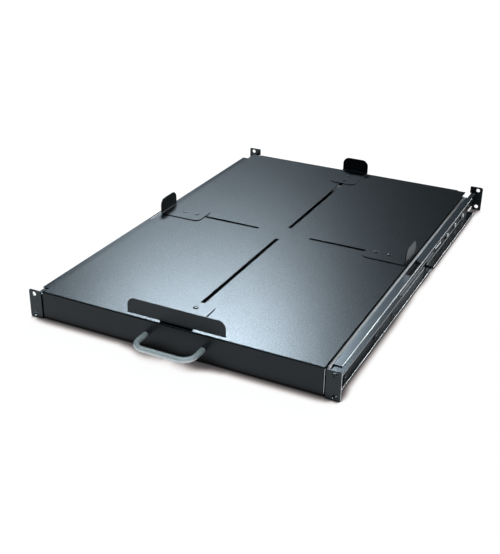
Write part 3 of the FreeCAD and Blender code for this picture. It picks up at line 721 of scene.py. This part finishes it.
# Tray: one folded steel sheet with four slots, in a black powder coat with a fine grain, and a
# channel welded under each side. The inner slide members are screwed to the channels.
tray_ease = 0.00025
tray_side = 0.2160
tray_black = {"deep": (0.0018, 0.0024, 0.0028), "worn": (0.0035, 0.0045, 0.0052)}
rim_black = {"deep": tray_black["deep"], "worn": tray_black["deep"]}
slide_screw_face = 0.2058
slide_screw_first = 0.060
slide_screw_pitch = 0.14175
slide_screw_head = (0.0035, 0.0020)
slide_screw_shank = (0.0019, 0.0027)
leaning = 0.3


def fleck_gloss(finish, grain, low, high):
    """Fine flecks of more and less gloss, as the powder melts unevenly."""
    tree = finish.node_tree
    fleck = speckle(tree, add_node(tree, "ShaderNodeTexCoord").outputs["Object"], grain)
    gloss = spread(tree, fleck, low, high)
    set_inputs(tree, tree.nodes["Principled BSDF"], {"Specular IOR Level": gloss})


def on_tray_side(face):
    """True for the tray's side edges and their eased strips."""
    return abs(face.normal.x) > leaning and abs(face.center.x) > tray_side


tray_skin = powder_coat(
    "tray_black_coat", grain=0.0019, rough=0.315, gloss=0.42, peel=0.40, **tray_black
)
fleck_gloss(tray_skin, grain=0.0017, low=0.22, high=0.65)
tray_rim = powder_coat(
    "tray_matt_rim", grain=0.0014, rough=0.75, gloss=0.06, peel=0.20, **rim_black
)
tray = eased_sheet("shelf_tray", tray_skin, tray_skin, tray_ease)
recoat(tray, tray_rim, on_tray_side)
fit(tray, "tray", "shelf_tray")
for side, sign in (("left", -1), ("right", 1)):
    node = f"{side}_tray_channel"
    fit(eased_sheet(node, tray_skin, tray_skin, tray_ease), "tray", node)
    node = f"{side}_slide_screws"
    screws = screw_row(
        node,
        first=(sign * slide_screw_face, slide_screw_first, slide_middle),
        step=(0, slide_screw_pitch, 0),
        count=5,
        heading=(-sign, 0, 0),
        head=slide_screw_head,
        shank=slide_screw_shank,
        finish=screw_zinc,
        seed=5,
    )
    fit(screws, "tray", node)


# Front panel and pull handle: the panel is a folded strip welded across the tray's front, in the
# tray's coat. The handle is a bent round rod in satin nickel, held by two screws from behind.
panel_ease = 0.00035
panel_end = 0.2180
panel_steel = (0.72, 0.75, 0.77)
panel_steel_dull = (0.50, 0.53, 0.55)
panel_top_lean = 0.2
handle_ease = 0.0002
handle_half_span = 0.04445
handle_screw_seat = 0.003
handle_screw_head = (0.0035, 0.0020)
handle_screw_shank = (0.0019, 0.0120)
nickel_pale = (0.92, 0.98, 0.99)
nickel_deep = (0.82, 0.88, 0.89)


def satin_nickel(name, pale, deep):
    """Satin nickel plate over a drawn rod: very fine scratches and a cloudy, soft gloss."""
    cloud_size = 0.006
    scratch_size = 0.0004
    scratch_stretch = (14.0, 1.0, 1.0)
    scratch_depth = 0.0001
    finish, tree, shader, place = start_finish(name)
    cloud = speckle(tree, place, cloud_size, detail=4.0)
    scratch = speckle(tree, place, scratch_size, detail=2.0, stretch=scratch_stretch)
    values = {
        "Base Color": tint(tree, cloud, deep, pale),
        "Roughness": spread(tree, scratch, 0.38, 0.52),
        "Metallic": 0.3,
        "Normal": raise_skin(tree, scratch, 0.10, scratch_depth),
    }
    set_inputs(tree, shader, values)
    return finish


def on_panel_corner(face):
    """True for the eased strip down the panel's right front corner, which is rubbed bright."""
    turns_the_corner = face.normal.x > leaning and face.normal.y < -leaning
    return turns_the_corner and face.center.x > panel_end


def on_panel_top(face):
    """True for the panel's top edge under the tray's rim."""
    return face.normal.z > panel_top_lean and not on_panel_corner(face)


panel_skin = powder_coat(
    "panel_black_coat", grain=0.0011, rough=0.30, gloss=0.34, peel=0.14, **tray_black
)
panel_rub = rubbed_edge("panel_rubbed_edge", panel_steel, panel_steel_dull, rough=0.36)
panel = eased_sheet("front_panel", panel_skin, panel_skin, panel_ease)
recoat(panel, panel_rub, on_panel_corner)
recoat(panel, tray_rim, on_panel_top)
fit(panel, "tray", "front_panel")
handle_skin = satin_nickel("handle_satin_nickel", nickel_pale, nickel_deep)
handle = eased_sheet("pull_handle", handle_skin, handle_skin, handle_ease)
fit(handle, "tray", "pull_handle")
screws = screw_row(
    "handle_screws",
    first=(-handle_half_span, handle_screw_seat, 0.0),
    step=(2 * handle_half_span, 0, 0),
    count=2,
    heading=(0, 1, 0),
    head=handle_screw_head,
    shank=handle_screw_shank,
    finish=screw_zinc,
    seed=7,
)
fit(screws, "tray", "handle_screws")


# Stops: four bent plates that slide in the tray's slots to hold an instrument, in the tray's black.
# Each is held by two black screws that go through its foot into a black clamp plate under the tray.
# A stop has the place of its first screw and the step to the second, which points to the middle.
stop_ease = 0.00025
stop_screw_seat = 0.0233
stop_screw_pitch = 0.022
stop_screw_head = (0.0038, 0.0016)
stop_screw_shank = (0.0019, 0.0050)
stop_bend_top = stop_screw_seat + 0.004
stop_places = {
    "front": ((0.0, 0.039), (0, stop_screw_pitch, 0)),
    "rear": ((0.0, 0.6525), (0, -stop_screw_pitch, 0)),
    "left": ((-0.1855, 0.354), (stop_screw_pitch, 0, 0)),
    "right": ((0.182, 0.354), (-stop_screw_pitch, 0, 0)),
}
thin_coat = (0.045, 0.050, 0.053)
thin_coat_deep = (0.015, 0.017, 0.018)
oxide_worn = (0.090, 0.092, 0.096)
clamp_worn = (0.075, 0.078, 0.082)
oxide_deep = (0.040, 0.042, 0.045)
rim_lean = 0.5


def on_foot_rim(face):
    """True for the low rim round the foot, which is matt."""
    return face.center.z < stop_screw_seat and abs(face.normal.z) < rim_lean


def on_upright(face, inward):
    """True for the two broad faces of the upright."""
    return face.center.z > stop_bend_top and abs(face.normal.dot(inward)) > facing


stop_satin = {"grain": 0.0011, "rough": 0.32, "gloss": 0.42, "peel": 0.16}
stop_skin = powder_coat("stop_black_coat", **stop_satin, **tray_black)
stop_side = powder_coat("stop_side_face", **stop_satin, **tray_black)
fade_gloss(stop_side, low=0.024, gloss_low=0.02, high=0.042, gloss_high=0.45)
stop_face = powder_coat(
    "stop_matt_face", grain=0.0020, rough=0.70, gloss=0.24, peel=0.30, **tray_black
)
stop_rim = powder_coat(
    "stop_matt_rim", grain=0.0011, rough=0.75, gloss=0.06, peel=0.16, **rim_black
)
stop_rub = rubbed_edge("stop_thin_edge", thin_coat, thin_coat_deep, rough=0.45)
screw_black = plated_zinc("screw_black_oxide", oxide_worn, oxide_deep, rough=0.34)
clamp_skin = rolled_zinc("clamp_black_zinc", clamp_worn, oxide_deep, rough=0.36)
for place, (near, step) in stop_places.items():
    body = f"{place}_stop"
    plate = eased_sheet(body, stop_skin, stop_rub, stop_ease)
    recoat(plate, stop_rim, on_foot_rim)
    if place != "front":
        inward = Vector(step).normalized()
        finish = stop_side if place == "right" else stop_face
        recoat(plate, finish, lambda face: on_upright(face, inward))
    fit(plate, body, body)
    clamp = eased_sheet(f"{body}_clamp", clamp_skin, clamp_skin, stop_ease)
    fit(clamp, body, f"{body}_clamp")
    node = f"{body}_screws"
    screws = screw_row(
        node,
        first=(*near, stop_screw_seat),
        step=step,
        count=2,
        heading=(0, 0, 1),
        head=stop_screw_head,
        shank=stop_screw_shank,
        finish=screw_black,
        seed=9,
    )
    fit(screws, body, node)


# Studio: a wide white floor that the ears stand on, one broad lamp overhead, one softbox behind on
# the left whose glare lies on the front of the tray, one low on the right for the rails' edges, and
# a weak one in front. Reflections see a dark room above the floor, so the black coat stays black.
floor_height = cad_low[2]
floor_half = 9.0
floor_white = (0.93, 0.93, 0.93, 1.0)
paper_glow = 0.97
paper_catch = (0.07, 0.07, 0.07, 1.0)
shadow_reach = 0.04
shadow_samples = 64
shadow_tones = (
    (0.20, (0.010, 0.010, 0.010)),
    (0.50, (0.075, 0.070, 0.070)),
    (0.54, (0.125, 0.105, 0.107)),
    (0.58, (0.255, 0.228, 0.226)),
    (0.62, (0.435, 0.412, 0.396)),
    (0.66, (0.655, 0.613, 0.610)),
    (0.70, (0.885, 0.868, 0.860)),
    (0.76, (1.0, 1.0, 1.0)),
)
cover_reach = 0.5
cover_lean = {"X": 0.33, "Y": -0.67, "Z": 0.67}
cover_start = 0.50
cover_end = 0.58
air_white = (1.0, 1.0, 1.0, 1.0)
room_glow = 0.012
tray_middle = (0.0, 0.34, 0.02)


def is_ray(tree, first, *others):
    """One for a ray of the kinds named, and nought for light on its way."""
    path = add_node(tree, "ShaderNodeLightPath").outputs
    found = path[first]
    for kind in others:
        found = work_out(tree, "MAXIMUM", found, path[kind])
    return found


def floor_paper():
    """White paper: it is lit as paper is, and seen white with the part's shadow on it."""
    finish = bpy.data.materials.new("floor_paper")
    finish.use_nodes = True
    tree = finish.node_tree
    tree.nodes.remove(tree.nodes["Principled BSDF"])
    values = {"Distance": shadow_reach}
    near = add_node(tree, "ShaderNodeAmbientOcclusion", values, samples=shadow_samples)
    tones = add_node(tree, "ShaderNodeValToRGB", {"Fac": near.outputs["AO"]})
    while len(tones.color_ramp.elements) < len(shadow_tones):
        tones.color_ramp.elements.new(0.5)
    for element, (position, colour) in zip(tones.color_ramp.elements, shadow_tones):
        element.position = position
        element.color = (*colour, 1.0)
    lean = add_node(tree, "ShaderNodeCombineXYZ", cover_lean)
    values = {"Distance": cover_reach, "Normal": lean.outputs["Vector"]}
    cover = add_node(tree, "ShaderNodeAmbientOcclusion", values, samples=shadow_samples)
    open_share = spread(tree, cover.outputs["AO"], 0.0, 1.0, cover_start, cover_end)
    values = {0: tones.outputs["Color"], "Scale": open_share}
    shaded = add_node(tree, "ShaderNodeVectorMath", values, operation="SCALE")
    values = {"Color": shaded.outputs["Vector"], "Strength": paper_glow}
    glow = add_node(tree, "ShaderNodeEmission", values)
    catch = add_node(tree, "ShaderNodeBsdfDiffuse", {"Color": paper_catch})
    values = {0: glow.outputs["Emission"], 1: catch.outputs["BSDF"]}
    seen = add_node(tree, "ShaderNodeAddShader", values)
    matt = add_node(tree, "ShaderNodeBsdfDiffuse", {"Color": floor_white})
    values = {
        "Fac": is_ray(tree, "Is Camera Ray", "Is Transmission Ray", "Is Glossy Ray"),
        1: matt.outputs["BSDF"],
        2: seen.outputs["Shader"],
    }
    pick = add_node(tree, "ShaderNodeMixShader", values)
    set_inputs(tree, tree.nodes["Material Output"], {"Surface": pick.outputs["Shader"]})
    return finish


def softbox(name, place, aim, width, height, power, colour):
    """A rectangular lamp at a place, turned to its aim."""
    lamp = bpy.data.lights.new(name, "AREA")
    lamp.shape = "RECTANGLE"
    lamp.size = width
    lamp.size_y = height
    lamp.energy = power
    lamp.color = colour
    stand = bpy.data.objects.new(name, lamp)
    bpy.context.collection.objects.link(stand)
    towards = Vector(aim) - Vector(place)
    turn = towards.to_track_quat("-Z", "Y").to_matrix().to_4x4()
    stand.matrix_world = Matrix.Translation(Vector(place)) @ turn


floor_mesh = bpy.data.meshes.new("floor")
corners = [
    (across * floor_half, along * floor_half, floor_height)
    for across, along in ((-1, -1), (1, -1), (1, 1), (-1, 1))
]
floor_mesh.from_pydata(corners, [], [(0, 1, 2, 3)])
floor_mesh.materials.append(floor_paper())
floor = bpy.data.objects.new("floor", floor_mesh)
bpy.context.collection.objects.link(floor)

softbox(
    "lamp_overhead",
    place=(0.0, 0.2, 3.0),
    aim=(0.0, 0.2, 0.0),
    width=4.4,
    height=4.4,
    power=47.0,
    colour=(0.76, 0.93, 1.0),
)
softbox(
    "lamp_behind",
    place=(-1.114, 2.047, 1.729),
    aim=tray_middle,
    width=0.75,
    height=0.45,
    power=58.0,
    colour=(0.81, 0.92, 1.0),
)
softbox(
    "lamp_front",
    place=(1.1, -2.3, 1.75),
    aim=tray_middle,
    width=2.0,
    height=1.2,
    power=8.0,
    colour=(0.94, 0.98, 1.0),
)
softbox(
    "lamp_right",
    place=(1.40, 2.44, 1.04),
    aim=(0.23, 0.35, 0.02),
    width=1.0,
    height=1.0,
    power=40.0,
    colour=(0.97, 0.99, 1.0),
)

world = bpy.data.worlds.new("studio")
world.use_nodes = True
air = world.node_tree
seen = is_ray(air, "Is Camera Ray", "Is Transmission Ray")
values = {"Color": air_white, "Strength": work_out(air, "MAXIMUM", seen, room_glow)}
set_inputs(air, air.nodes["Background"], values)
bpy.context.scene.world = world

camera_place = (0.5632, -0.9236, 0.6387)
camera_lens = 60.26
camera_film = 36.0
camera_range = 60.0
view_azimuth = math.radians(26.01)
view_elevation = math.radians(26.59)
view_roll = math.radians(0.94)
back = Vector(
    (
        math.sin(view_azimuth) * math.cos(view_elevation),
        -math.cos(view_azimuth) * math.cos(view_elevation),
        math.sin(view_elevation),
    )
)
level_right = (-back).cross(Vector((0, 0, 1))).normalized()
level_up = level_right.cross(-back)
right = level_right * math.cos(view_roll) + level_up * math.sin(view_roll)
up = level_up * math.cos(view_roll) - level_right * math.sin(view_roll)
lens = bpy.data.cameras.new("camera")
lens.sensor_width = camera_film
lens.sensor_fit = "AUTO"
lens.lens = camera_lens
lens.clip_end = camera_range
camera = bpy.data.objects.new("camera", lens)
bpy.context.collection.objects.link(camera)
turned = Matrix((right, up, back)).transposed().to_4x4()
camera.matrix_world = Matrix.Translation(Vector(camera_place)) @ turned
bpy.context.scene.camera = camera
bpy.context.scene.view_settings.view_transform = "Standard"
